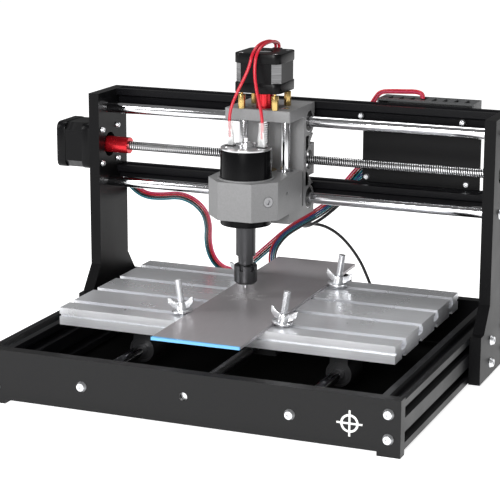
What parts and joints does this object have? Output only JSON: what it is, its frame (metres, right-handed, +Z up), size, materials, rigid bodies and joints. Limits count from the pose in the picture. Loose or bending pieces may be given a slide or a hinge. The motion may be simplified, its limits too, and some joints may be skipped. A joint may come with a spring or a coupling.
{
  "type": "desktop cnc router",
  "caption": "Desktop CNC router: fixed gantry over a slotted table that slides on round rods, lead screw drives, small spindle, clamps and a sheet of metal.",
  "frame": {"origin": "on the floor under the centre of the base frame", "axes": "+X to the machine's right, +Y to its back, +Z up"},
  "size_m": [0.4168, 0.439, 0.2841],
  "materials": {
    "black_panel": "satin",
    "black_profile": "satin",
    "rod_steel": "polished",
    "screw_steel": "satin",
    "dark_steel": "satin",
    "motor_black": "satin",
    "coupling_red": "gloss",
    "bearing_steel": "polished",
    "table_aluminium": "satin",
    "block_black": "matte",
    "brass": "satin",
    "sheet_metal": "satin",
    "grey_plastic": "matte",
    "bolt_steel": "polished",
    "board": "satin",
    "plate_black": "gloss",
    "cover_black": "satin",
    "cable_black": "satin",
    "cable_red": "satin"
  },
  "bodies": {
    "base": {"front_panel": "black_panel", "rear_panel": "black_panel", "base_profiles": "black_profile", "gantry_profiles": "black_profile", "left_upright": "black_panel", "right_upright": "black_panel", "x_guide_rods": "rod_steel", "y_guide_rods": "rod_steel", "frame_screws": "screw_steel", "x_motor": "motor_black", "y_motor": "motor_black", "small_screws": "dark_steel", "lead_screw_bearings": "bearing_steel", "controller_plate": "plate_black", "controller_board": "board", "controller_cover": "cover_black", "x_motor_cable": "cable_black", "y_motor_cable": "cable_black", "usb_lead": "cable_black", "usb_coil": "cable_black", "usb_connector": "cable_black"},
    "y_table": {"bed_plate": "table_aluminium", "y_bearing_blocks": "block_black", "y_nut_block": "block_black", "work_sheet": "sheet_metal"},
    "clamp_1": {"clamp_bolt_1": "bolt_steel"},
    "clamp_1_nut": {"wing_nut_1": "bolt_steel"},
    "clamp_2": {"clamp_bolt_2": "bolt_steel"},
    "clamp_2_nut": {"wing_nut_2": "bolt_steel"},
    "clamp_3": {"clamp_bolt_3": "bolt_steel"},
    "clamp_3_nut": {"wing_nut_3": "bolt_steel"},
    "clamp_4": {"clamp_bolt_4": "bolt_steel"},
    "clamp_4_nut": {"wing_nut_4": "bolt_steel"},
    "x_carriage": {"x_carriage": "grey_plastic", "x_linear_bearings": "bearing_steel", "x_lead_nut": "brass", "z_guide_rods": "rod_steel", "z_motor_standoffs": "brass", "z_motor": "motor_black", "carriage_cable": "cable_black"},
    "z_slide": {"spindle_clamp_block": "grey_plastic", "z_linear_bearings": "bearing_steel", "z_lead_nut": "brass", "spindle_clamp_screw": "dark_steel", "spindle_can": "motor_black", "spindle_end_cap": "screw_steel", "spindle_leads": "cable_red"},
    "spindle": {"spindle_rotor": "screw_steel", "collet_extension": "dark_steel", "collet_nut": "dark_steel", "engraving_bit": "screw_steel"},
    "x_screw": {"x_coupling": "coupling_red", "x_motor_shaft": "screw_steel", "x_lead_screw": "screw_steel"},
    "y_screw": {"y_coupling": "coupling_red", "y_motor_shaft": "screw_steel", "y_lead_screw": "screw_steel"},
    "z_screw": {"z_coupling": "coupling_red", "z_motor_shaft": "screw_steel", "z_lead_screw": "screw_steel"}
  },
  "joints": [
    {"name": "y_slide", "type": "slide", "parent": "base", "child": "y_table", "axis": [0, 1, 0], "range_m": [-0.102, 0.078]},
    {"name": "y_screw_turn", "type": "hinge", "parent": "base", "child": "y_screw", "pos_m": [0, 0, 0.0265], "axis": [0, 1, 0], "range_deg": [-9250, 7100]},
    {"name": "x_slide", "type": "slide", "parent": "base", "child": "x_carriage", "axis": [1, 0, 0], "range_m": [-0.13, 0.161], "deforming": ["carriage_cable"]},
    {"name": "x_screw_turn", "type": "hinge", "parent": "base", "child": "x_screw", "pos_m": [0, 0.082, 0.1765], "axis": [1, 0, 0], "range_deg": [-11800, 14600]},
    {"name": "z_slide", "type": "slide", "parent": "x_carriage", "child": "z_slide", "axis": [0, 0, 1], "range_m": [0, 0.0415], "deforming": ["spindle_leads"]},
    {"name": "z_screw_turn", "type": "hinge", "parent": "x_carriage", "child": "z_screw", "pos_m": [-0.0136, 0.05, 0.17], "axis": [0, 0, 1], "range_deg": [-20, 3800]},
    {"name": "spindle_spin", "type": "hinge", "parent": "z_slide", "child": "spindle", "pos_m": [-0.0136, 0.0076, 0.1], "axis": [0, 0, 1], "continuous": true},
    {"name": "clamp_1_slide", "type": "slide", "parent": "y_table", "child": "clamp_1", "axis": [-1, 0, 0], "range_m": [0, 0.085]},
    {"name": "clamp_1_nut_turn", "type": "hinge", "parent": "clamp_1", "child": "clamp_1_nut", "pos_m": [-0.045, -0.0555, 0.064], "axis": [-0.1478, 0, 0.989], "continuous": true},
    {"name": "clamp_2_slide", "type": "slide", "parent": "y_table", "child": "clamp_2", "axis": [1, 0, 0], "range_m": [0, 0.085]},
    {"name": "clamp_2_nut_turn", "type": "hinge", "parent": "clamp_2", "child": "clamp_2_nut", "pos_m": [0.045, -0.0555, 0.064], "axis": [0.1478, 0, 0.989], "continuous": true},
    {"name": "clamp_3_slide", "type": "slide", "parent": "y_table", "child": "clamp_3", "axis": [1, 0, 0], "range_m": [0, 0.085]},
    {"name": "clamp_3_nut_turn", "type": "hinge", "parent": "clamp_3", "child": "clamp_3_nut", "pos_m": [0.045, 0.0795, 0.064], "axis": [0.1478, 0, 0.989], "continuous": true},
    {"name": "clamp_4_slide", "type": "slide", "parent": "y_table", "child": "clamp_4", "axis": [-1, 0, 0], "range_m": [0, 0.085]},
    {"name": "clamp_4_nut_turn", "type": "hinge", "parent": "clamp_4", "child": "clamp_4_nut", "pos_m": [-0.045, 0.0795, 0.064], "axis": [-0.1478, 0, 0.989], "continuous": true}
  ],
  "couplings": [
    {"joint": "x_screw_turn", "follows": "x_slide", "rad_per_m": 1570.8},
    {"joint": "y_screw_turn", "follows": "y_slide", "rad_per_m": 1570.8},
    {"joint": "z_screw_turn", "follows": "z_slide", "rad_per_m": 1570.8}
  ]
}
